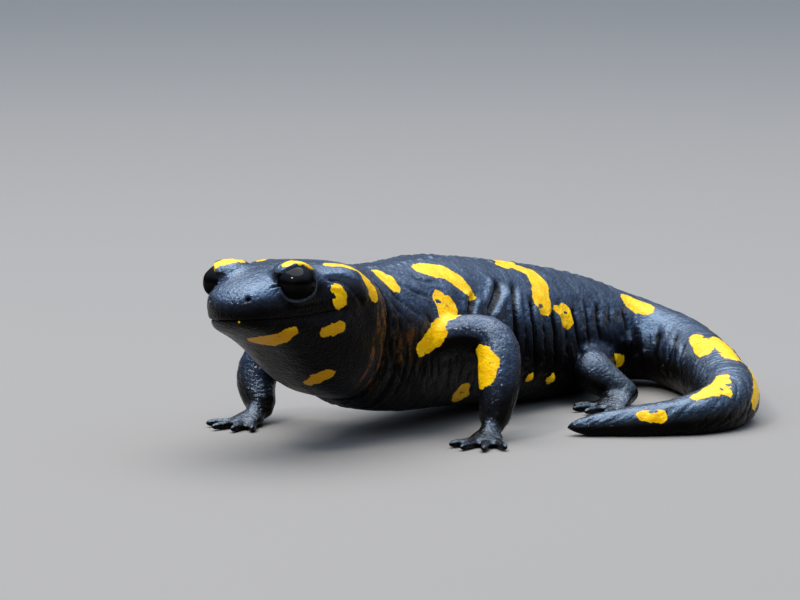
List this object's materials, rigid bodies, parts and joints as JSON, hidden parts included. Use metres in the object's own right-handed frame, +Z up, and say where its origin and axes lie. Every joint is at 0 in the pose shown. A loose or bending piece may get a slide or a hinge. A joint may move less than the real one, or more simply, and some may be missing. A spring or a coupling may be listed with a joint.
{
  "type": "fire salamander model",
  "caption": "Life-size still model of an adult fire salamander, black with yellow spots, propped on its forelegs with its tail curled round beside it",
  "frame": {"origin": "middle of the model's box, on the floor it rests on", "axes": "+Z up. The head points to -X and -Y, the trunk runs back to +Y, and the tail bends round at +X and ends pointing to -X, so the animal's left side faces -Y."},
  "size_m": [0.0838, 0.094, 0.0293],
  "materials": {
    "skin": "moist glossy skin, black with yellow spots",
    "eye": "wet gloss"
  },
  "bodies": {
    "root": {"belly": "skin", "chest": "skin", "eye_left": "eye", "eye_right": "eye", "foot_left": "skin", "foot_right": "skin", "forearm_left": "skin", "forearm_right": "skin", "hand_left": "skin", "hand_right": "skin", "head": "skin", "loin": "skin", "lower_jaw": "skin", "neck": "skin", "pelvis": "skin", "shank_left": "skin", "shank_right": "skin", "tail_base": "skin", "tail_middle": "skin", "tail_rear": "skin", "tail_tip": "skin", "thigh_left": "skin", "thigh_right": "skin", "upper_arm_left": "skin", "upper_arm_right": "skin"}
  },
  "joints": []
}
